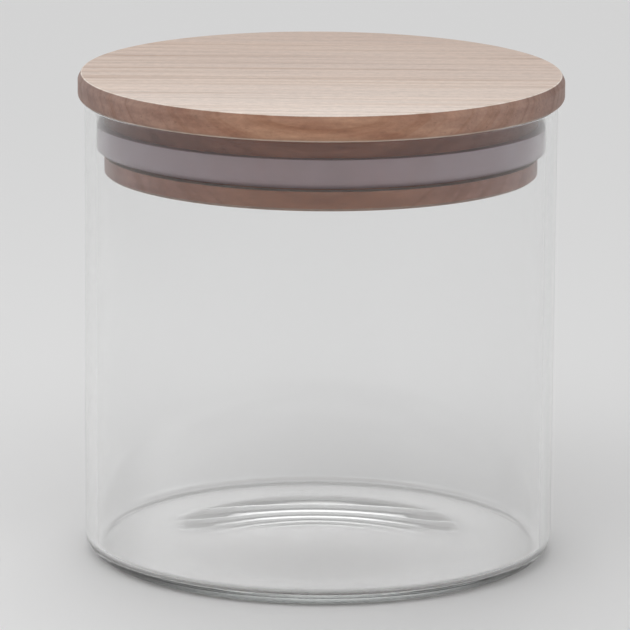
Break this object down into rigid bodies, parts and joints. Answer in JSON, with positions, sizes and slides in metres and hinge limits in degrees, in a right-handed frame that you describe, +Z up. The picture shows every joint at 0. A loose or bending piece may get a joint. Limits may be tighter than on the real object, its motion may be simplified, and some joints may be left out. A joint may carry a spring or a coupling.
{
  "type": "lidded glass canister",
  "caption": "Straight-sided clear glass canister with a turned wooden plug lid; a silicone ring in the lid's groove seals against the inside of the mouth.",
  "frame": {"origin": "centre of the foot ring, on the surface that the jar stands on", "axes": "+Z up along the jar's axis; -Y is the front; the lid's grain runs along X"},
  "size_m": [0.1028, 0.1028, 0.1033],
  "materials": {
    "clear_glass": "clear, fire-polished rim, gloss",
    "wood": "pale close-grained hardwood, fine sanded, matt oiled",
    "silicone": "milky translucent silicone, satin"
  },
  "bodies": {
    "jar": {"glass_jar": "clear_glass"},
    "lid": {"wooden_lid": "wood", "silicone_seal": "silicone"}
  },
  "joints": [
    {"name": "lid_lift", "type": "slide", "parent": "jar", "child": "lid", "axis": [0, 0, 1], "range_m": [0, 0.12]}
  ]
}
